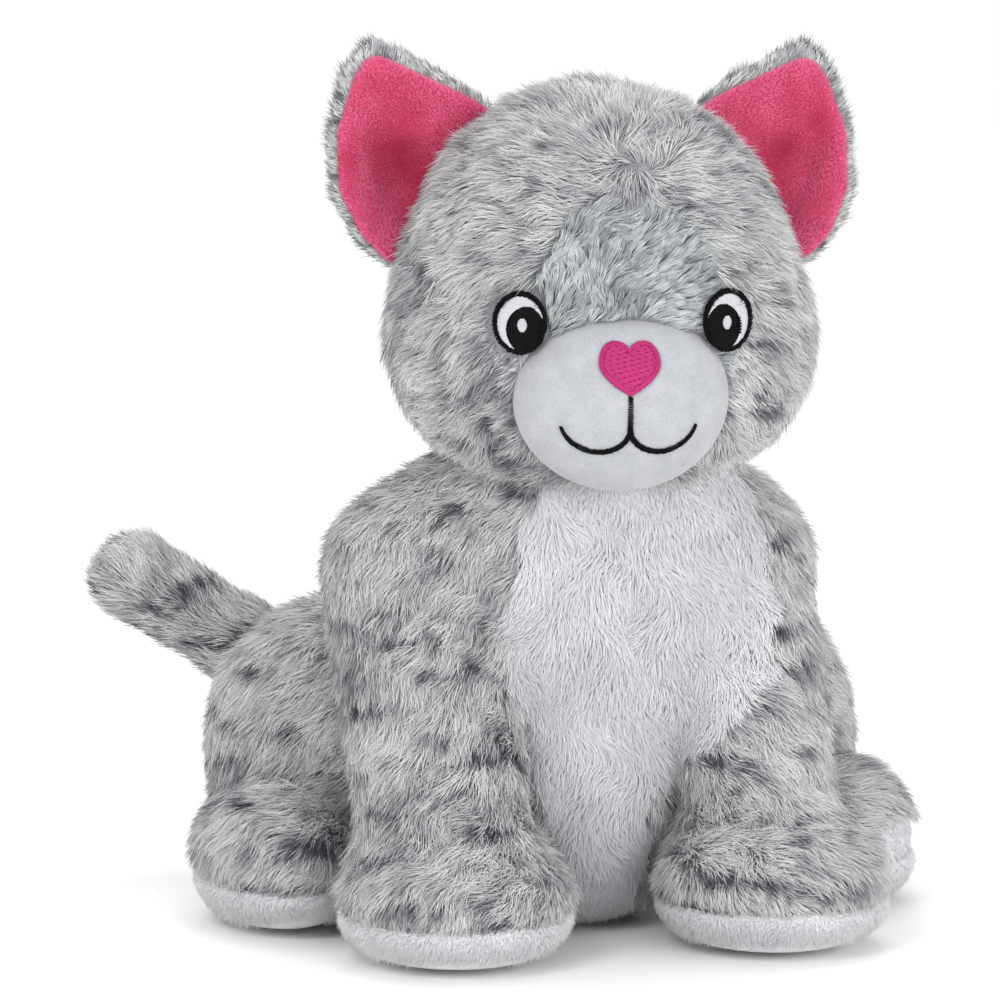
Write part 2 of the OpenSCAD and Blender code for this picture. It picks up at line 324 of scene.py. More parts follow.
def new_mesh(name, points, faces, uv=None, normals=None, smooth_faces=True):
    """An object from points in millimetres and a list of face arrays, each of one corner count."""
    mesh = bpy.data.meshes.new(name)
    points = np.asarray(points, float) * MM
    faces = [f for f in faces if len(f)]
    loops = np.concatenate([f.ravel() for f in faces]).astype(np.int32)
    totals = np.concatenate([np.full(len(f), f.shape[1]) for f in faces]).astype(np.int32)
    starts = np.concatenate([[0], np.cumsum(totals)[:-1]]).astype(np.int32)
    mesh.vertices.add(len(points))
    mesh.vertices.foreach_set("co", points.ravel())
    mesh.loops.add(len(loops))
    mesh.loops.foreach_set("vertex_index", loops)
    mesh.polygons.add(len(totals))
    mesh.polygons.foreach_set("loop_start", starts)
    mesh.polygons.foreach_set("loop_total", totals)
    mesh.polygons.foreach_set("use_smooth", np.full(len(totals), smooth_faces))
    if uv is not None:
        layer = mesh.uv_layers.new(name="OFBake")
        layer.data.foreach_set("uv", uv[loops].astype(np.float32).ravel())
    mesh.update(calc_edges=True)
    mesh.validate()
    if normals is not None:
        mesh.normals_split_custom_set_from_vertices(normals.tolist())
    piece = bpy.data.objects.new(name, mesh)
    bpy.context.scene.collection.objects.link(piece)
    return piece


# ---- pile


class Surface:
    """Triangles that pile can grow from: where they are, how they face and how large they are."""

    def __init__(self, field, points, quads):
        tris = np.concatenate([quads[:, [0, 1, 2]], quads[:, [0, 2, 3]]])
        self.corners = points[tris]
        self.middle = self.corners.mean(1)
        cross = np.cross(self.corners[:, 1] - self.corners[:, 0], self.corners[:, 2] - self.corners[:, 0])
        self.area = np.linalg.norm(cross, axis=1) / 2
        self.field = field

    def roots(self, keep, density, rng):
        """Random root points on the triangles where keep is above 0, about density per square millimetre."""
        weight = self.area * keep
        number = int(weight.sum() * density * STRAND_SHARE)
        place = (np.arange(number) + rng.random(number)) / number * weight.sum()
        order = np.searchsorted(np.cumsum(weight), place)
        order = np.clip(order, 0, len(weight) - 1)
        a, b = rng.random(number), rng.random(number)
        flip = a + b > 1
        a[flip], b[flip] = 1 - a[flip], 1 - b[flip]
        c = self.corners[order]
        at = c[:, 0] + a[:, None] * (c[:, 1] - c[:, 0]) + b[:, None] * (c[:, 2] - c[:, 0])
        return at, unit(gradient(self.field, at, 0.6))


def tuft_roots(root, density, gap, rng):
    """For each root, the root of the tuft it belongs to, with tufts about gap millimetres apart."""
    number = max(8, int(len(root) / (density * gap * gap)))
    chosen = root[rng.choice(len(root), min(number, len(root)), replace=False)]
    tree = KDTree(len(chosen))
    for i, point in enumerate(chosen):
        tree.insert(point, i)
    tree.balance()
    return chosen[[tree.find(point)[1] for point in root]]


# Length, width, lock, tuft and sink are in millimetres and lift, bend and stray in radians.
# Density is in strands per square millimetre, and the rest are shares.
LONG_PILE = dict(length=9.0, ragged=0.28, width=0.34, lift=0.62, bend=0.42, stray=0.22, lock=7.0,
                 tuft=1.9, gather=0.42, sink=0.6, soft=0.66, density=2.7, fleck=0.10, seed=100)
BIB_PILE = {**LONG_PILE, "length": 6.5, "density": 3.2, "tuft": 2.0, "gather": 0.35, "stray": 0.28,
            "soft": 0.8, "fleck": 0.06}
SHORT_PILE = dict(length=6.0, ragged=0.15, width=0.36, lift=0.70, bend=0.50, stray=0.08, lock=5.0,
                  tuft=2.1, gather=0.85, sink=0.4, soft=0.45, density=5.0, fleck=0.10, seed=200)
NAP = dict(length=1.3, ragged=0.2, width=0.30, lift=1.0, bend=0.4, stray=0.5, lock=4.0,
           tuft=1.0, gather=0.3, sink=0.3, soft=0.8, density=5.0, fleck=0.10, seed=300)


def strands(name, surface, keep, comb, tone, look, seed, shorten=None, **changes):
    """Grows pile from the triangles of surface that keep marks, as closed three-sided tapering strands.
    comb(points, normals) is the way the pile lies, tone(points) its shade from 0, dark, to 1, light."""
    look = {**look, **changes}
    rng = np.random.default_rng(look["seed"] + seed)
    root, normal = surface.roots(keep, look["density"], rng)
    number = len(root)
    lie = comb(root, normal)
    along = unit(lie - (lie * normal).sum(1)[:, None] * normal)
    side = np.cross(normal, along)
    length = look["length"] * rng.uniform(1 - look["ragged"], 1 + look["ragged"], number)
    if shorten is not None:
        length *= shorten(root)
    swerve = 0.30 * waves(root, look["lock"], look["seed"]) + rng.normal(0, look["stray"], number)
    along = unit(along + side * swerve[:, None])
    lift = look["lift"] + 0.10 * waves(root, look["lock"] * 1.3, look["seed"] + 1)
    lift += rng.normal(0, look["stray"] * 0.5, number)
    centre = tuft_roots(root, look["density"] * STRAND_SHARE, look["tuft"], rng)
    shade = tone(centre * 0.55 + root * 0.45) + rng.normal(0, look["fleck"], number)
    shade = np.clip(shade, 0.02, 0.98)
    points = [root - normal * look["sink"]]
    for k, angle in enumerate((lift, lift - look["bend"])):
        angle = np.clip(angle, 0.05, 1.5)
        step = normal * np.sin(angle)[:, None] + along * np.cos(angle)[:, None]
        pull = (centre - root) * look["gather"] * (0.35, 0.65)[k]
        points.append(points[-1] + step * (length / 2)[:, None] + pull)
    for line in points[1:]:
        line[:, 2] = np.maximum(line[:, 2], 0.7)
    width = look["width"] * rng.uniform(0.7, 1.25, number) / math.sqrt(STRAND_SHARE)
    axis = unit(points[2] - points[0])
    across = unit(np.cross(axis, normal + 0.013))
    third = np.cross(axis, across)
    spin = rng.uniform(0, 2 * math.pi, number)
    rings, facing, uv = [], [], []
    for k, share in enumerate((0.50, 0.42)):
        for corner in range(3):
            angle = spin + corner * 2 * math.pi / 3
            out = across * np.cos(angle)[:, None] + third * np.sin(angle)[:, None]
            rings.append(points[k] + out * (width * share)[:, None])
            facing.append(unit(normal * look["soft"] + out * (1 - look["soft"]) + 0.2 * k * along))
            uv.append(np.stack([shade + 0.006 * (corner - 1), np.full(number, 0.02 + 0.48 * k)], 1))
    rings.append(points[2])
    facing.append(unit(normal * 0.8 + along * 0.35))
    uv.append(np.stack([shade, np.full(number, 0.98)], 1))
    base = np.arange(number)[:, None]
    quads, tris = [], [base + number * np.array([2, 1, 0])]
    for corner in range(3):
        after = (corner + 1) % 3
        quads.append(base + number * np.array([corner, after, 3 + after, 3 + corner]))
        tris.append(base + number * np.array([3 + corner, 3 + after, 6]))
    return new_mesh(name, np.concatenate(rings), [np.concatenate(quads), np.concatenate(tris)],
                    np.concatenate(uv), np.concatenate(facing))


# ---- materials


def material(name, roughness=0.9, sheen=0.0, specular=0.25):
    made = bpy.data.materials.new(name)
    made.use_nodes = True
    tree = made.node_tree
    shader = tree.nodes["Principled BSDF"]
    shader.inputs["Roughness"].default_value = roughness
    shader.inputs["Specular IOR Level"].default_value = specular
    shader.inputs["Sheen Weight"].default_value = sheen
    shader.inputs["Sheen Roughness"].default_value = 0.5
    return made, tree, shader


def ramp(tree, stops, source):
    node = tree.nodes.new("ShaderNodeValToRGB")
    while len(node.color_ramp.elements) < len(stops):
        node.color_ramp.elements.new(0.5)
    for element, (place, colour) in zip(node.color_ramp.elements, stops):
        element.position = place
        element.color = (*colour, 1)
    tree.links.new(source, node.inputs[0])
    return node.outputs[0]


def mix(tree, factor, first, second):
    node = tree.nodes.new("ShaderNodeMix")
    node.data_type = "RGBA"
    tree.links.new(factor, node.inputs[0])
    tree.links.new(first, node.inputs[6])
    tree.links.new(second, node.inputs[7])
    return node.outputs[2]


def pile_material(name, roots, tips, sheen=0.15):
    """Colour by strand: tone runs along u and the strand itself along v."""
    made, tree, shader = material(name, 0.92, sheen, 0.12)
    place = tree.nodes.new("ShaderNodeUVMap")
    place.uv_map = "OFBake"
    split = tree.nodes.new("ShaderNodeSeparateXYZ")
    tree.links.new(place.outputs[0], split.inputs[0])
    along = ramp(tree, [(0.0, (0, 0, 0)), (0.45, (0.6, 0.6, 0.6)), (1.0, (1, 1, 1))], split.outputs[1])
    colour = mix(tree, along, ramp(tree, roots, split.outputs[0]), ramp(tree, tips, split.outputs[0]))
    tree.links.new(colour, shader.inputs["Base Color"])
    return made


def noise(tree, place, scale, detail):
    node = tree.nodes.new("ShaderNodeTexNoise")
    node.inputs["Scale"].default_value = scale
    node.inputs["Detail"].default_value = detail
    tree.links.new(place.outputs["Object"], node.inputs["Vector"])
    return node.outputs[0]


def cloth_material(name, dark, light, grain, depth, roughness=0.95, sheen=0.3):
    """Short velour or knitted backing: fine speckled colour, with bump of the same grain."""
    made, tree, shader = material(name, roughness, sheen, 0.15)
    place = tree.nodes.new("ShaderNodeTexCoord")
    fine = noise(tree, place, grain, 4)
    broad = noise(tree, place, grain / 9, 3)
    add = tree.nodes.new("ShaderNodeMath")
    add.operation = "ADD"
    tree.links.new(fine, add.inputs[0])
    tree.links.new(broad, add.inputs[1])
    half = tree.nodes.new("ShaderNodeMath")
    half.operation = "MULTIPLY"
    half.inputs[1].default_value = 0.5
    tree.links.new(add.outputs[0], half.inputs[0])
    colour = ramp(tree, [(0.32, dark), (0.62, light)], half.outputs[0])
    tree.links.new(colour, shader.inputs["Base Color"])
    bump = tree.nodes.new("ShaderNodeBump")
    bump.inputs["Distance"].default_value = depth
    bump.inputs["Strength"].default_value = 0.5
    tree.links.new(fine, bump.inputs["Height"])
    tree.links.new(bump.outputs[0], shader.inputs["Normal"])
    return made


def thread_material(name, dark, light, specular=0.3):
    """Embroidery thread: a satin lustre, with fine twisted plies along each stitch."""
    made, tree, shader = material(name, 0.5, 0.0, specular)
    place = tree.nodes.new("ShaderNodeTexCoord")
    plies = noise(tree, place, 2600, 2)
    tree.links.new(ramp(tree, [(0.35, dark), (0.65, light)], plies), shader.inputs["Base Color"])
    gloss = tree.nodes.new("ShaderNodeMapRange")
    gloss.inputs["To Min"].default_value = 0.40
    gloss.inputs["To Max"].default_value = 0.60
    tree.links.new(plies, gloss.inputs["Value"])
    tree.links.new(gloss.outputs[0], shader.inputs["Roughness"])
    return made


GREY_ROOTS = [(0.0, (0.050, 0.046, 0.060)), (0.35, (0.13, 0.13, 0.145)), (0.65, (0.25, 0.26, 0.27)),
              (1.0, (0.36, 0.36, 0.35))]
GREY_TIPS = [(0.0, (0.085, 0.078, 0.105)), (0.35, (0.30, 0.305, 0.33)), (0.65, (0.66, 0.68, 0.685)),
             (1.0, (0.94, 0.94, 0.91))]
# The short pile's tones run from the painted shade of the forehead's grooves to the painted light of its
# ridges
SHORT_ROOTS = [(0.0, (0.10, 0.11, 0.115)), (1.0, (0.34, 0.36, 0.365))]
SHORT_TIPS = [(0.0, (0.26, 0.285, 0.295)), (1.0, (0.74, 0.77, 0.78))]
WHITE_ROOTS = [(0.0, (0.62, 0.64, 0.67)), (1.0, (0.74, 0.76, 0.79))]
WHITE_TIPS = [(0.0, (0.80, 0.815, 0.84)), (1.0, (0.92, 0.935, 0.955))]

# What a panel or its embroidery is made of: a material, and the slot it fills
GREY_FUR = (pile_material("grey_pile", GREY_ROOTS, GREY_TIPS), "marbled_grey_pile")
SHORT_FUR = (pile_material("short_grey_pile", SHORT_ROOTS, SHORT_TIPS), "short_grey_pile")
WHITE_FUR = (pile_material("white_pile", WHITE_ROOTS, WHITE_TIPS), "white_pile")
SOLE_NAP = (pile_material("white_nap", [(0.0, (0.76, 0.77, 0.79)), (1.0, (0.86, 0.87, 0.89))],
                          [(0.0, (0.86, 0.87, 0.89)), (1.0, (0.95, 0.955, 0.97))]), "white_velour")
# The pink nap's darker tones carry the painted shade in the ear's bowl and fold
LINING_NAP = (pile_material("pink_nap", [(0.0, (0.44, 0.022, 0.080)), (1.0, (0.72, 0.090, 0.21))],
                            [(0.0, (0.72, 0.046, 0.155)), (1.0, (0.95, 0.225, 0.41))]), "pink_velour")
GREY_BACKING = cloth_material("grey_backing", (0.16, 0.16, 0.18), (0.30, 0.31, 0.33), 900, 0.0004)
WHITE_BACKING = cloth_material("white_backing", (0.50, 0.52, 0.55), (0.64, 0.66, 0.69), 900, 0.0004)
# One white velour in two copies: the copy for the soles and the base is far lighter, painted light that makes
# up for the shade under the cat, and the muzzle's copy is darker to offset the full light on it
MUZZLE_VELOUR_DARKENED = cloth_material("white_velour", (0.35, 0.362, 0.38), (0.445, 0.458, 0.48), 1300, 0.0005)
SOLE_VELOUR_BRIGHTENED = cloth_material("white_sole", (0.82, 0.83, 0.85), (0.94, 0.945, 0.96), 1300, 0.0005)
PINK_VELOUR = cloth_material("pink_velour", (0.44, 0.028, 0.090), (0.60, 0.058, 0.155), 1300, 0.0007,
                             sheen=0.15)
BLACK = (thread_material("black_thread", (0.003, 0.003, 0.003), (0.009, 0.009, 0.010), 0.03),
         "black_embroidery")
WHITE = (thread_material("white_thread", (0.42, 0.43, 0.46), (0.56, 0.57, 0.60)), "white_embroidery")
PINK = (thread_material("pink_thread", (0.34, 0.014, 0.105), (0.50, 0.026, 0.17)), "pink_embroidery")


def finish_piece(piece, look, slot, replaces=(), body=None, blend=None):
    piece.data.materials.append(look)
    if blend:
        parent, child, start, end = blend
        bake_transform(piece)
    else:
        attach(piece, body)
    if replaces:
        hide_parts(*replaces)
    return piece


def grow(name, surface, keep, comb, tone, look, seed, cloth, node, body=None, blend=None, shorten=None,
         **changes):
    """One panel's pile, finished as a piece that stands for a CAD node."""
    piece = strands(name, surface, keep, comb, tone, look, seed, shorten, **changes)
    finish_piece(piece, *cloth, [node], body, blend)


def closed_form(name, field, low, high, step):
    points, quads = surface_net(field, low, high, step)
    piece = new_mesh(name, points, [quads])
    return piece, Surface(field, points, quads)


def pad(name, field, low, high, step, look, slot, node, fill, body=None, blend=None):
    """A stuffed or velour form. Gives back its surface."""
    piece, surface = closed_form(name, field, low, high, step)
    finish_piece(piece, look, slot, [node], body, blend)
    return surface


# ---- how the pile lies and how it is marked


def down_and_out(outward, forward=0.0):
    """Pile that lies down the body, away from its middle line, and forward along the paws."""
    def comb(p, n):
        lean = np.clip(p[:, 0] / 25, -1, 1)
        swirl = 0.35 * waves(p, 15, 91)
        return np.stack([outward * lean + swirl, np.full(len(p), -forward), np.full(len(p), -1.0)], 1)
    return comb


def turned_lie(lie):
    """A way given in the unturned head, as it is on the turned one."""
    return turn_z(lie + NECK, HEAD_TURN, NECK) - NECK


def head_comb(p, n):
    """Out from a whorl over the forehead, and down the sides and the back of the head."""
    q = head_local(p)
    d = q - (SKULL + [4, -46, 34])
    reach = np.linalg.norm(d, axis=1)
    d[:, 2] -= 14 * smooth(25, 80, reach)
    beside = smooth(250, 225, q[:, 2]) * smooth(-45, -60, q[:, 1])
    d[:, 0] += 40 * np.tanh(q[:, 0] / 12) * beside
    d += 9 * np.stack([waves(q, 9, 92), waves(q, 9, 93), waves(q, 9, 94)], 1) * smooth(70, 10, reach)[:, None]
    return turned_lie(unit(d))


def forehead_comb(p, n):
    """Short locks that stand up at one side of the forehead and lie over towards the other."""
    q = head_local(p)
    turn = np.radians(np.interp(q[:, 0], [-26, 0, 26], [80, 50, 12])) + 0.35 * waves(q, 8, 95)
    return turned_lie(np.stack([np.cos(turn), np.full(len(q), -0.2), np.sin(turn)], 1))


def tail_comb(p, n):
    here = np.array(TAIL)
    way = np.gradient(here, axis=0)
    nearest = np.argmin(np.linalg.norm(p[:, None] - here[None], axis=2), axis=1)
    return way[nearest]


def marbled(period, strength):
    """Light locks over a dark ground that shows in short broken bands across the pile."""
    def tone(p):
        light = 0.74 + 0.05 * waves(p, 24, 31) + 0.06 * waves(p, 8, 32) + 0.11 * waves(p, 2.2, 33)
        phase = (p[:, 2] + 5 * waves(p * [0.7, 0.7, 1], 26, 34)) / period
        band = smooth(0.55, 1.0, 0.5 + 0.5 * np.cos(2 * math.pi * phase))
        broken = smooth(-0.2, 0.8, waves(p * [0.55, 0.55, 1.9], 7, 35))
        specks = smooth(1.0, 1.8, waves(p * [0.5, 0.5, 2.0], 4, 36))
        grain = np.clip(0.65 + 0.6 * waves(p, 1.8, 37), 0, 1.3)
        return light - strength * band * broken * grain - 0.42 * specks * grain
    return tone


def ridge_light_and_shade(p):
    """Short pile that parts in fine wavy ridges, with painted light on their crests and painted shade in the
    darker grooves between them.
    """
    q = head_local(p)
    # Painted light and shade: lighter along the ridges' crests, darker in the grooves
    phase = (q[:, 2] + 0.25 * q[:, 0] + 1.6 * waves(q, 7, 43)) / 3.4
    return 0.58 + 0.30 * np.sin(2 * math.pi * phase) + 0.10 * waves(q, 14, 44)


def plain(p):
    return 0.5 + 0.14 * waves(p, 12, 41) + 0.10 * waves(p, 4, 42)


# ---- body


# The white chest panel's edges: a height in millimetres, then how far the panel reaches there to the cat's
# right and to its left, as shares of half the CAD panel's width
BIB_EDGES = [(4, 0.20, 0.30), (28, 0.34, 0.34), (40, 0.50, 0.32), (51, 0.58, 0.40), (60, 0.60, 0.66),
             (70, 0.64, 0.93), (80, 0.74, 1.10), (88, 0.84, 1.30), (112, 0.83, 1.32), (130, 0.76, 1.28),
             (142, 0.66, 1.15), (154, 0.50, 0.90)]


def bib_share(p):
    """How far inside the white chest panel a point is, in millimetres, negative outside."""
    low, high = node_box("chest_panel")
    half = (high[0] - low[0]) / 2
    height, right_edge, left_edge = np.array(BIB_EDGES).T
    reach_right = p[:, 0] + half * np.interp(p[:, 2], height, right_edge)
    reach_left = half * np.interp(p[:, 2], height, left_edge) - p[:, 0]
    inside = np.minimum(reach_right, reach_left) + 1.2 * waves(p, 6, 51)
    inside = np.where((p[:, 2] < 3) | (p[:, 2] > 156), -50, inside)
    return np.where(p[:, 1] < NECK[1] + 14, inside, -50)


def near_head(p):
    """Pile of the body is short where the head could brush it."""
    return 0.5 + 0.5 * smooth(1, 13, head_field(p))


def outer(surface, limit=1.4):
    """Triangles on the outside of the sewn body and clear of the head."""
    shown = np.abs(body_field(surface.middle)) < limit
    return shown & (head_field(surface.middle) > -1.5) & (surface.middle[:, 2] > 1.5)


CORE_STEP = 2.6  # spacing of the net that stuffed forms are drawn on
body_low = np.array([-74, -72, -1.0])
body_high = np.array([74, 92, 160])
torso_core, torso_skin = closed_form("torso_core", part_field(BODY_PARTS.index("torso")),
                                     body_low, body_high, CORE_STEP)
torso_core.data.materials.append(GREY_BACKING)
finish_piece(torso_core, WHITE_BACKING, "stuffing", ["body_stuffing"], "torso")
centres = np.zeros(len(torso_core.data.polygons) * 3)
torso_core.data.polygons.foreach_get("center", centres)
white = bib_share(centres.reshape(-1, 3) / MM) > 0
torso_core.data.polygons.foreach_set("material_index", white.astype(np.int32))

torso_outer = outer(torso_skin)
bib = bib_share(torso_skin.middle) > 0
grow("chest_fur", torso_skin, torso_outer & bib, down_and_out(0.25), plain, BIB_PILE, 1,
     WHITE_FUR, "chest_panel", "torso", shorten=near_head)
for name, side in SIDES.items():
    flank = (torso_skin.middle[:, 0] * side > 0) & (torso_skin.middle[:, 2] > 4)
    grow(f"side_fur_{name}", torso_skin, torso_outer & ~bib & flank, down_and_out(0.8, -0.3),
         marbled(15, 0.75), LONG_PILE, 2 + int(side), GREY_FUR, f"side_panel_{name}", "torso",
         shorten=near_head)

base_low, base_high = node_box("base_panel")
base_mid = (base_low + base_high) / 2


def base_field(p):
    flat = np.hypot(p[:, 0] - base_mid[0], p[:, 1] - base_mid[1]) - (base_high[0] - base_mid[0])
    return overlap(flat, np.abs(p[:, 2] - 2.2) - 2.0, 3)


pad("base_pad", base_field, base_low - 4, base_high + 4, 1.6, SOLE_VELOUR_BRIGHTENED, "white_velour", "base_panel",
    0.5, "torso")

# ---- legs


SOLE_TOP = node_box("front_sole_left")[1][2]


def sole_field(leg, side, height):
    def field(p):
        return overlap(overlap(leg(p, side) - 2.4, p[:, 2] - height, 5), 0.3 - p[:, 2], 4)
    return field


def above_sole(p):
    """Pile is trimmed short where it meets the sole."""
    return near_head(p) * (0.40 + 0.60 * smooth(SOLE_TOP, SOLE_TOP + 14, p[:, 2]))


def side_box(side, inner, outer_reach, front, back, top):
    """The low and high corners of a box on one side of the body, from just under the floor up."""
    reach = sorted((inner * side, outer_reach * side))
    return np.array([reach[0], front, -1.0]), np.array([reach[1], back, top])


def leg_core(kind, name, box, bend):
    """The stuffed form of a leg. Gives back its surface, the triangles that carry pile, and its number."""
    index = BODY_PARTS.index(f"{kind}_leg_{name}")
    skin = pad(f"{kind}_leg_core_{name}", part_field(index), *box, CORE_STEP, GREY_BACKING, "stuffing",
               f"{kind}_leg_stuffing_{name}", 0.8, blend=bend)
    return skin, outer(skin) & (skin.middle[:, 2] > SOLE_TOP + 2), index


def leg_sole(kind, name, leg, box, seed):
    """The white sole of a leg, with fine nap on its side, and none inside the foot or underneath."""
    field = sole_field(leg, SIDES[name], SOLE_TOP + 2.5)
    node, body = f"{kind}_sole_{name}", f"{kind}_leg_{name}"
    skin = pad(f"{kind}_sole_pad_{name}", field, *box, 1.8, SOLE_VELOUR_BRIGHTENED, "white_velour", node, 0.7, body)
    upright = np.abs(unit(gradient(skin.field, skin.middle, 0.6))[:, 2]) < 0.75
    keep = (skin.middle[:, 2] > 1.2) & (skin.middle[:, 2] < SOLE_TOP + 3) & upright
    grow(f"{kind}_sole_nap_{name}", skin, keep, down_and_out(0.3), plain, NAP, seed, SOLE_NAP, node, body,
         length=3.4, density=5.0, gather=0.1)


for name, side in SIDES.items():
    top = mirrored(SHOULDER, side)
    bend = ("torso", f"front_leg_{name}", top + [0, 0, 24], top - [0, 0, 16])
    skin, keep, index = leg_core("front", name, side_box(side, 6, 102, -106, 28, 146), bend)
    bib = bib_share(skin.middle) > 0
    grow(f"front_leg_fur_{name}", skin, keep & ~bib, down_and_out(0.9, 0.9), marbled(15, 0.80), LONG_PILE,
         20 + index, GREY_FUR, f"front_leg_skin_{name}", blend=bend, shorten=above_sole)
    grow(f"chest_fur_{name}", skin, keep & bib, down_and_out(0.25), plain, BIB_PILE, 30 + index,
         WHITE_FUR, "chest_panel", blend=bend)
    leg_sole("front", name, front_leg_field, side_box(side, 3, 105, -106, -12, 18), 44 + index)

for name, side in SIDES.items():
    top = mirrored(HIP, side)
    bend = ("torso", f"hind_leg_{name}", top - [26 * side, 0, 0], top + [4 * side, 0, 0])
    skin, keep, index = leg_core("hind", name, side_box(side, 16, 124, -34, 98, 104), bend)
    # The white of the sole runs up the outer side of the foot on the cat's left only
    white_edge = (skin.middle[:, 2] < 31) & (skin.middle[:, 0] > FOOT[0] + 4)
    grow(f"hind_leg_fur_{name}", skin, keep & ~white_edge, down_and_out(1.4, 0.5), marbled(15, 0.80),
         LONG_PILE, 20 + index, GREY_FUR, f"hind_leg_skin_{name}", blend=bend, shorten=above_sole)
    if side > 0:
        grow("hind_sole_edge", skin, keep & white_edge, down_and_out(0.3), plain, BIB_PILE, 28,
             WHITE_FUR, "hind_sole_left", f"hind_leg_{name}", length=4.0, density=4.0)
    leg_sole("hind", name, hind_leg_field, side_box(side, 13, 127, -34, 96, 17), 44 + index)

# ---- tail and neck

tail_bend = ("torso", "tail", TAIL_ROOT, TAIL_ROOT * 0.7 + TAIL[1] * 0.3)
tail_skin = pad("tail_core", part_field(BODY_PARTS.index("tail")), TAIL_LOW - 2, TAIL_HIGH + [22, 2, 2], 2.2,
                GREY_BACKING, "stuffing", "tail_stuffing", 0.8, blend=tail_bend)
grow("tail_fur", tail_skin, outer(tail_skin), tail_comb, marbled(13, 1.0), LONG_PILE, 40,
     GREY_FUR, "tail_skin", blend=tail_bend)

neck_size = (node_box("neck_stuffing")[1] - node_box("neck_stuffing")[0]) / 2
pad("neck_core", lambda p: ellipsoid(p, NECK, neck_size * 0.85), NECK - neck_size, NECK + neck_size, 3,
    GREY_BACKING, "stuffing", "neck_stuffing", 0.8, "neck")

# ---- head


def to_head(p):
    """A point of the frame, given in the unturned head's own places."""
    return turn_z(np.atleast_2d(p), -HEAD_TURN, NECK)


def from_head(q):
    return turn_z(np.atleast_2d(q), HEAD_TURN, NECK)


HEART = to_head(node_mid("nose_heart"))[0] - [0, 0, 1.6]
MUZZLE_AT = np.array([0.0, -83.0, 176.5])
MUZZLE_HALF = np.array([33.0, 21.0, 28.8])
# On the face, seen from the front: across the unturned head and up, for the eye on the cat's left
EYE_AT = np.array([31.5, 200.2])
EYE_HALF = np.array([7.9, 9.8])
EYE_CLEAR = np.array([8.0, 9.9])
BROW_AT, BROW_HALF = (0, 185), (31, 53)


def muzzle_field_local(q):
    dome = ellipsoid(q, MUZZLE_AT, MUZZLE_HALF)
    return overlap(dome, q[:, 2] - MUZZLE_AT[2] - 26, 9)


def muzzle_field(p):
    return muzzle_field_local(head_local(p))


def oval(x, z, centre, half):
    """Below 1 inside an oval drawn on the face."""
    return ((x - centre[0]) / half[0]) ** 2 + ((z - centre[1]) / half[1]) ** 2


def eye_hole(q, side, grow_by):
    """Below 1 inside the oval kept clear for an eye."""
    return np.where(q[:, 1] < -60, oval(q[:, 0] * side, q[:, 2], EYE_AT, EYE_CLEAR + grow_by), 9.0)


head_low = np.array([-80, -112, 136])
head_high = np.array([80, 32, 276])
head_skin = pad("head_core", head_field, head_low, head_high, CORE_STEP, GREY_BACKING, "stuffing",
                "head_stuffing", 0.9, "head")
pad("muzzle_pad", muzzle_field, head_low, [60, -50, 216], 1.5, MUZZLE_VELOUR_DARKENED, "white_velour", "muzzle_panel",
    0.9, "head")

local = head_local(head_skin.middle)
free = (body_field(head_skin.middle) > -3) & (muzzle_field_local(local) > -0.5)
for side in SIDES.values():
    free &= eye_hole(local, side, 0.5) > 1
brow = (oval(local[:, 0], local[:, 2], BROW_AT, BROW_HALF) < 1) & (local[:, 1] < -50) & (local[:, 2] > 180)
front = local[:, 1] < -22


def eye_shorten(p):
    q = head_local(p)
    share = np.ones(len(q))
    for side in SIDES.values():
        share *= 0.45 + 0.55 * smooth(1.0, 2.6, eye_hole(q, side, 0.5))
    share *= 0.5 + 0.5 * smooth(1, 13, body_field(p))
    return share * (0.6 + 0.4 * smooth(2, 12, muzzle_field_local(q)))


def head_marbled(p):
    q = head_local(p)
    light = 0.71 + 0.06 * waves(q, 24, 61) + 0.06 * waves(q, 8, 62) + 0.11 * waves(q, 2.2, 63)
    grain = np.clip(0.65 + 0.6 * waves(q, 1.8, 64), 0, 1.3)
    patches = smooth(0.4, 1.6, waves(q * [0.6, 1, 1.8], 7, 65))
    specks = smooth(0.7, 1.6, waves(q * [0.7, 1, 1.8], 3.8, 66))
    return light - 0.34 * patches * grain - 0.42 * specks * grain


for name, side in SIDES.items():
    mine = local[:, 0] * side > 0
    grow(f"cheek_fur_{name}", head_skin, free & front & mine & ~brow, head_comb, head_marbled, LONG_PILE,
         50 + int(side), GREY_FUR, f"cheek_panel_{name}", "head", shorten=eye_shorten)
    grow(f"head_back_fur_{name}", head_skin, free & ~front & mine, head_comb, head_marbled, LONG_PILE,
         60 + int(side), GREY_FUR, "head_back_panel", "head", shorten=eye_shorten)
grow("forehead_fur", head_skin, free & brow, forehead_comb, ridge_light_and_shade, SHORT_PILE, 70,
     SHORT_FUR, "forehead_panel", "head")

# ---- ears

EAR_ROOT = np.array([51.0, -28.0, 238.0])
EAR_AXES = np.array(Matrix.Rotation(math.radians(57), 3, "Y") @ Matrix.Rotation(math.radians(-10), 3, "Z"))
EAR_OUTLINE = np.array([[-27, -15], [27, -15], [30, 0], [29, 9], [21, 23], [4, 36], [-17, 44], [-28, 43],
                        [-31, 8], [-30, 0]], float)
LINING_OUTLINE = np.array([[-22, -12], [18, -12], [23, 0], [21, 8], [14, 19], [1, 28], [-14, 32], [-18, 32],
                           [-22, 4]], float)
EAR_ROUND = 5.5  # how far the outlines are rounded outwards


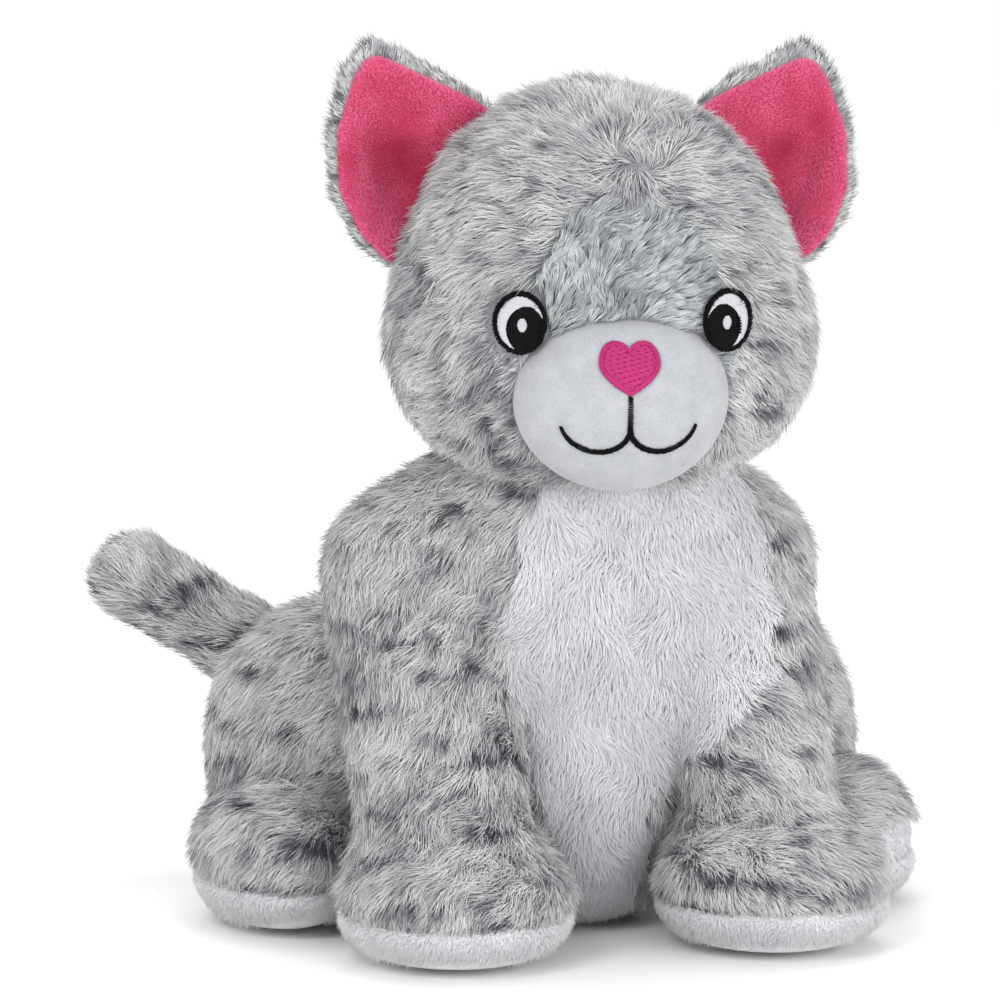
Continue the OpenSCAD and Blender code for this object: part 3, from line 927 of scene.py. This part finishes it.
def polygon_distance(points, corners):
    best = np.full(len(points), 1e9)
    inside = np.zeros(len(points), bool)
    for a, b in zip(corners, np.roll(corners, -1, axis=0)):
        edge, w = b - a, points - a
        t = np.clip((w @ edge) / (edge @ edge), 0, 1)
        best = np.minimum(best, np.linalg.norm(w - t[:, None] * edge, axis=1))
        spans = (a[1] > points[:, 1]) != (b[1] > points[:, 1])
        cross = a[0] + (points[:, 1] - a[1]) * (b[0] - a[0]) / (b[1] - a[1] if b[1] != a[1] else 1e-9)
        inside ^= spans & (points[:, 0] < cross)
    return np.where(inside, -best, best)


def ear_local(p, side):
    q = head_local(p) * [side, 1, 1] - EAR_ROOT
    return q @ EAR_AXES


def from_ear(e, side):
    return from_head((e @ EAR_AXES.T + EAR_ROOT) * [side, 1, 1])


# The ear on the cat's left is seen more edge on, and is sewn a little shorter
EAR_REACH = {1.0: 0.90, -1.0: 1.0}


def ear_bend(e):
    """How far the ear's middle sheet stands back from its plane: cupped, with a fold at its inner edge."""
    cup = 8.0 * (1 - (e[:, 0] / 30) ** 2) * smooth(44, 2, e[:, 2])
    fold = 6.5 * smooth(-9, 2, e[:, 0] + 0.25 * e[:, 2]) * smooth(30, 4, e[:, 2])
    return cup + fold * (1 - smooth(6, 26, e[:, 0])) - 3.5


def ear_field(side):
    def field(p):
        e = ear_local(p, side)
        flat = polygon_distance(e[:, [0, 2]], EAR_OUTLINE * [0.80, 0.80 * EAR_REACH[side]]) - EAR_ROUND
        thick = np.abs(e[:, 1] - ear_bend(e) - 2.2) - 2.0
        return overlap(flat, thick, 3)
    return field


def beyond_lining(e, side):
    return polygon_distance(e[:, [0, 2]], LINING_OUTLINE * [1, EAR_REACH[side]])


def lining_field(side):
    def field(p):
        e = ear_local(p, side)
        flat = beyond_lining(e, side) - EAR_ROUND
        puff = 2.1 + 0.5 * np.tanh(waves(e, 9, 71)) * smooth(0, 6, -flat)
        thick = np.abs(e[:, 1] - ear_bend(e) + 1.2) - puff
        return overlap(flat, thick, 2.4)
    return field


def ear_comb(side):
    def comb(p, n):
        e = ear_local(p, side)
        way = np.stack([0.5 * e[:, 0] / 30 - 0.15, np.full(len(e), 0.1), np.full(len(e), 1.0)], 1)
        return turned_lie(way @ EAR_AXES.T * [side, 1, 1])
    return comb


def lining_shade_and_tone(side):
    """The lining's nap carries painted shade: pale along the edges, darker deep in the bowl and darkest down
    in the fold, where shade falls.
    """
    def tone(p):
        e = ear_local(p, side)
        # Painted shade: the nap darkens away from the edges into the bowl, and most of all in the fold
        edge = smooth(16, 0, -polygon_distance(e[:, [0, 2]], LINING_OUTLINE) + EAR_ROUND)
        fold = np.exp(-(((e[:, 0] + 0.25 * e[:, 2] - 1) / 6) ** 2)) * smooth(34, 6, e[:, 2])
        return 0.50 + 0.35 * edge - 0.50 * fold + 0.10 * waves(p, 7, 72)
    return tone


def ear_shorten(side):
    """Pile is trimmed along the edge that meets the lining, and long at the back."""
    def share(p):
        e = ear_local(p, side)
        return 0.55 + 0.45 * smooth(1, 5, e[:, 1] - ear_bend(e))
    return share


EAR_BOX = np.array([[x, y, z] for x in (-36, 36) for y in (-10, 14) for z in (-20, 48)], float)
for name, side in SIDES.items():
    body, outer_node, lining_node = f"ear_{name}", f"ear_outer_{name}", f"ear_lining_{name}"
    corners = from_ear(EAR_BOX, side)
    low, high = corners.min(0), corners.max(0)
    skin = pad(f"ear_shell_{name}", ear_field(side), low, high, 1.8, GREY_BACKING, "marbled_grey_pile",
               outer_node, 0.4, body)
    e = ear_local(skin.middle, side)
    behind = (e[:, 1] - ear_bend(e) > 1.2) | (beyond_lining(e, side) > 4.0)
    above = head_field(skin.middle) > 1
    grow(f"ear_fur_{name}", skin, behind & above, ear_comb(side), head_marbled, LONG_PILE, 80 + int(side),
         GREY_FUR, outer_node, body, shorten=ear_shorten(side), length=6.0, density=3.2)
    lining_skin = pad(f"ear_lining_pad_{name}", lining_field(side), low, high, 1.5, PINK_VELOUR,
                      "pink_velour", lining_node, 0.4, body)
    e = ear_local(lining_skin.middle, side)
    facing = (e[:, 1] - ear_bend(e) < 0.2) & (head_field(lining_skin.middle) > 1)
    grow(f"ear_nap_{name}", lining_skin, facing, ear_comb(side), lining_shade_and_tone(side), NAP, 90 + int(side),
         LINING_NAP, lining_node, body, length=1.6)

# ---- embroidery


FACE_FRONT, FACE_BACK = -118.0, -30.0  # the depths between which the face is looked for


def face_field(q):
    """The face as it is embroidered: the head with its pile pressed flat, joined to the muzzle."""
    return join(head_field_local(q) - 2.6, muzzle_field_local(q), 1.0)


def face_depth(x, z, lift):
    """The unturned head's own place of points drawn on the front of the face at x and z, lifted off it."""
    x, z = np.asarray(x, float), np.asarray(z, float)
    near = np.full(len(x), FACE_FRONT)
    for y in np.linspace(FACE_FRONT, FACE_BACK, 89):
        outside = face_field(np.stack([x, np.full(len(x), y), z], 1)) > 0
        near = np.where(outside & (near >= y - 1.5), y, near)
    far = near + 1.0
    for _ in range(12):
        y = (near + far) / 2
        outside = face_field(np.stack([x, y, z], 1)) > 0
        near, far = np.where(outside, y, near), np.where(outside, far, y)
    q = np.stack([x, near, z], 1)
    return q + unit(gradient(face_field, q, 0.4)) * np.asarray(lift).reshape(-1, 1)


def stitches(name, starts, ends, look, slot, node, width=0.5, lift=0.5, arch=0.3, dip=0.3, steps=7, sides=6):
    """One short thread per pair of points in the face's drawing plane, arched over the cloth."""
    starts, ends = np.asarray(starts, float), np.asarray(ends, float)
    number = len(starts)
    t = np.linspace(0, 1, steps)
    flat = starts[:, None] * (1 - t)[None, :, None] + ends[:, None] * t[None, :, None]
    rise = (lift + arch * np.sin(math.pi * t) - dip * (np.abs(2 * t - 1) > 0.99))[None].repeat(number, 0)
    line = face_depth(flat[..., 0].ravel(), flat[..., 1].ravel(), rise.ravel()).reshape(number, steps, 3)
    along = unit(np.gradient(line, axis=1))
    out = np.array([0, -1, 0.0]) * np.ones_like(line)
    across = unit(np.cross(along, out))
    out = np.cross(across, along)
    taper = np.where(np.abs(2 * t - 1) > 0.99, 0.45, 1.0)[None, :, None]
    points, faces = [], []
    for k in range(sides):
        a = 2 * math.pi * k / sides
        points.append(line + (across * math.cos(a) * width / 2 + out * math.sin(a) * width * 0.42) * taper)
    points = np.stack(points, 2).reshape(-1, 3)
    base = np.arange(number)[:, None] * steps * sides
    for i in range(steps - 1):
        for k in range(sides):
            after = (k + 1) % sides
            faces.append(base + np.array([i * sides + k, i * sides + after, (i + 1) * sides + after,
                                          (i + 1) * sides + k]))
    quads = np.concatenate(faces)
    caps = [base + np.arange(sides)[::-1], base + (steps - 1) * sides + np.arange(sides)]
    piece = new_mesh(name, from_head(points), [quads, np.concatenate(caps)])
    return finish_piece(piece, look, slot, [node], "head")


def ring_stitches(centre, half, inner, outer_share, count, rng):
    """Radial satin stitches round an oval, between two shares of its size, with slightly ragged ends."""
    a = (np.arange(count) + rng.uniform(-0.15, 0.15, count)) / count * 2 * math.pi
    way = np.stack([np.cos(a) * half[0], np.sin(a) * half[1]], 1)
    ragged = 1 + rng.uniform(-0.02, 0.02, (count, 1))
    return centre + way * inner * ragged, centre + way * outer_share * ragged


def fill_rows(inside, low, high, pitch, longest):
    """Horizontal rows of thread wherever inside(x, z) holds, in stitches no longer than longest."""
    starts, ends = [], []
    x = np.arange(low[0], high[0], 0.12)
    for i, z in enumerate(np.arange(low[1], high[1], pitch)):
        hit = inside(x, np.full(len(x), z))
        edges = np.flatnonzero(np.diff(np.concatenate([[0], hit.astype(int), [0]])))
        for a, b in zip(edges[::2], edges[1::2]):
            left, right = x[a], x[b - 1]
            if right - left < 0.35:
                continue
            cuts = np.arange(left + longest * ((i % 3) + 1) / 3, right - 0.5, longest)
            marks = np.concatenate([[left], cuts, [right]])
            for s, e in zip(marks[:-1], marks[1:]):
                starts.append((s, z))
                ends.append((e, z))
    return np.array(starts), np.array(ends)


def heart_inside(x, z, grow_by=0.0):
    """A plump heart 18.8 wide, with its point down."""
    u, v = np.abs(x - HEART[0]) / (9.4 + grow_by), (z - HEART[2]) / (8.4 + grow_by)
    u = np.clip(u, 0, 2)
    lobe = np.sqrt(np.clip(1 - ((u - 0.48) / np.where(u > 0.48, 0.52, 0.48)) ** 2, 0, None))
    top = np.where(u > 0.48, 0.18 + 0.75 * lobe, 0.60 + 0.33 * lobe)
    bottom = 0.18 - 1.16 * np.clip(1 - u, 0, None) ** 0.52
    return (u < 1) & (v < top) & (v > bottom)


stitch_rng = np.random.default_rng(7)
PUPIL_HALF = np.array([6.1, 7.3])
SPARK_HALF = np.array([1.6, 2.1])


def embroider_eye(name, side):
    """A ring of radial stitches round a white fill, a black pupil and a white highlight, on a backing."""
    centre = EYE_AT * [side, 1]
    pupil = centre + [-1.8 * side, -2.2]
    spark = centre + [-0.7 * side, -0.5]

    def in_eye(x, z, share):
        return oval(x, z, centre, EYE_HALF) < share

    def in_pupil(x, z, grow_by=0.0):
        return (oval(x, z, pupil, PUPIL_HALF + grow_by) < 1) & in_eye(x, z, 0.88)

    def in_white(x, z):
        return in_eye(x, z, 0.76) & ~in_pupil(x, z, -0.7)

    def in_spark(x, z):
        return oval(x, z, spark, SPARK_HALF) < 1

    def backing_field(p):
        q = head_local(p)
        reach = np.hypot((q[:, 0] - centre[0]) / EYE_HALF[0], (q[:, 2] - centre[1]) / EYE_HALF[1])
        return overlap((reach - 0.97) * EYE_HALF[0], np.abs(head_field_local(q) - 1.6) - 1.5, 1.2)

    ring = ring_stitches(centre, EYE_HALF, 0.82, 1.0, 96, stitch_rng)
    stitches(f"eye_outline_stitches_{name}", *ring, *BLACK, f"eye_outline_{name}", 0.62, 0.9)
    rows = fill_rows(in_white, centre - EYE_HALF, centre + EYE_HALF, 0.28, 30)
    stitches(f"eye_white_stitches_{name}", *rows, *WHITE, f"eye_white_{name}", 0.55, 0.6)
    rows = fill_rows(in_pupil, pupil - 8, pupil + 8, 0.30, 30)
    stitches(f"eye_pupil_stitches_{name}", *rows, *BLACK, f"eye_pupil_{name}", 0.58, 1.0)
    rows = fill_rows(in_spark, spark - 3, spark + 3, 0.40, 13)
    stitches(f"eye_highlight_stitches_{name}", *rows, *WHITE, f"eye_highlight_{name}", 0.52, 1.5)
    spot = from_head([[centre[0], -80.0, centre[1]]])[0]
    pad, _ = closed_form(f"eye_backing_{name}", backing_field, spot - [13, 20, 13], spot + [13, 22, 13], 1.0)
    finish_piece(pad, *BLACK, [f"eye_outline_{name}"], "head")


for name, side in SIDES.items():
    embroider_eye(name, side)

heart_middle = HEART[[0, 2]]
rows = fill_rows(lambda x, z: heart_inside(x, z, -1.1), heart_middle - 11, heart_middle + 11, 0.44, 6.5)
stitches("nose_heart_stitches", *rows, *PINK, "nose_heart", 0.74, 0.45, 0.12, 0.1)


def polar_edge(inside, centre, count):
    """Points round the edge of a shape, seen from its centre."""
    a = np.linspace(0, 2 * math.pi, count, endpoint=False)
    r = np.arange(0.2, 16, 0.1)
    x = centre[0] + np.cos(a)[:, None] * r
    z = centre[1] + np.sin(a)[:, None] * r
    hit = inside(x, z)
    reach = r[np.where(hit.all(1), len(r) - 1, np.argmin(hit, axis=1))]
    return centre + np.stack([np.cos(a), np.sin(a)], 1) * reach[:, None]


edge = polar_edge(heart_inside, heart_middle, 150)
inward = heart_middle - edge
inward /= np.linalg.norm(inward, axis=1)[:, None]
edge += inward * stitch_rng.uniform(-0.08, 0.08, (len(edge), 1))
stitches("nose_heart_border", edge, edge + inward * 1.7, *PINK, "nose_heart", 0.40, 0.8, 0.3)


def mouth_path(side, count):
    """From under the nose down, then out along one side of the smile."""
    across = [0, 0, 0, 3, 7, 12, 17, 19.5, 20.5]
    height = [179.5, 172, 166.8, 163.4, 161.8, 161.9, 164.4, 167.4, 169.8]
    steps = np.linspace(0, 1, count) * (len(across) - 1)
    line = []
    for corners in (across, height):
        straight = np.interp(steps, np.arange(len(corners)), corners)
        line.append(np.convolve(np.pad(straight, 4, "edge"), np.ones(9) / 9, "valid"))
    return np.stack([line[0] * side, line[1]], 1)


starts, ends = [], []
for side in (-1, 1):
    path = mouth_path(side, 80)
    along = np.gradient(path, axis=0)
    along /= np.linalg.norm(along, axis=1)[:, None]
    across = np.stack([-along[:, 1], along[:, 0]], 1)
    half = 0.88 * np.interp(np.linspace(0, 1, len(path)), [0, 0.15, 0.7, 1], [0.8, 1.05, 0.95, 0.35])[:, None]
    ragged = stitch_rng.uniform(0.82, 1.12, (2, len(path), 1))
    slant = along * 0.25
    starts.append(path - across * half * ragged[0] - slant)
    ends.append(path + across * half * ragged[1] + slant)
stitches("mouth_stitches", np.concatenate(starts), np.concatenate(ends), *BLACK, "mouth_line",
         0.5, 0.45, 0.25)

# ---- floor, light and camera

floor_mesh = bpy.data.meshes.new("floor")
reach = 60.0
floor_mesh.from_pydata([(-reach, -reach, 0), (reach, -reach, 0), (reach, reach, 0), (-reach, reach, 0)], [],
                       [(0, 1, 2, 3)])
floor = bpy.data.objects.new("floor", floor_mesh)
bpy.context.scene.collection.objects.link(floor)
floor_look, _, floor_shader = material("floor_white", 0.9, 0.0, 0.1)
floor_shader.inputs["Base Color"].default_value = (0.98, 0.98, 0.98, 1)
floor_mesh.materials.append(floor_look)

world = bpy.data.worlds.new("studio")
world.use_nodes = True
world.node_tree.nodes["Background"].inputs[0].default_value = (1.0, 1.0, 1.0, 1)
world.node_tree.nodes["Background"].inputs[1].default_value = 1.03
bpy.context.scene.world = world

cad_low, cad_high = (np.array(corner) / MM for corner in CAD_BOX)
middle = (cad_low + cad_high) / 2


def studio_light(name, place, size, power):
    lamp = bpy.data.lights.new(name, "AREA")
    lamp.shape = "DISK"
    lamp.size = size
    lamp.energy = power
    holder = bpy.data.objects.new(name, lamp)
    bpy.context.scene.collection.objects.link(holder)
    holder.location = place
    aim = Vector(middle * MM) - Vector(place)
    holder.rotation_euler = aim.to_track_quat("-Z", "Y").to_euler()


studio_light("key", (-0.9, -1.1, 1.1), 0.6, 7)
studio_light("front", (0.5, -1.6, 0.30), 1.0, 9)
studio_light("top", (0.1, 0.3, 1.5), 0.8, 3.5)

VIEW_TURN, VIEW_RISE = math.radians(-15.4), math.radians(7.5)
VIEW_DISTANCE, VIEW_WIDTH = 2.2, 0.3175
VIEW_RIGHT, VIEW_UP = -0.0115, -0.0098  # where the camera aims, from the middle of the CAD box
SENSOR = 36
back = Vector((math.sin(VIEW_TURN) * math.cos(VIEW_RISE), -math.cos(VIEW_TURN) * math.cos(VIEW_RISE),
               math.sin(VIEW_RISE)))
right = Vector((math.cos(VIEW_TURN), math.sin(VIEW_TURN), 0))
up = back.cross(right)
target = Vector(middle * MM) + right * VIEW_RIGHT + up * VIEW_UP
camera_data = bpy.data.cameras.new("camera")
camera_data.sensor_width = SENSOR
camera_data.lens = SENSOR * VIEW_DISTANCE / VIEW_WIDTH
camera_data.clip_start, camera_data.clip_end = 0.05, 200
camera = bpy.data.objects.new("camera", camera_data)
bpy.context.scene.collection.objects.link(camera)
camera.location = target + back * VIEW_DISTANCE
camera.rotation_mode = "QUATERNION"
camera.rotation_quaternion = (-back).to_track_quat("-Z", "Y")
bpy.context.scene.camera = camera
bpy.context.scene.view_settings.view_transform = "Standard"
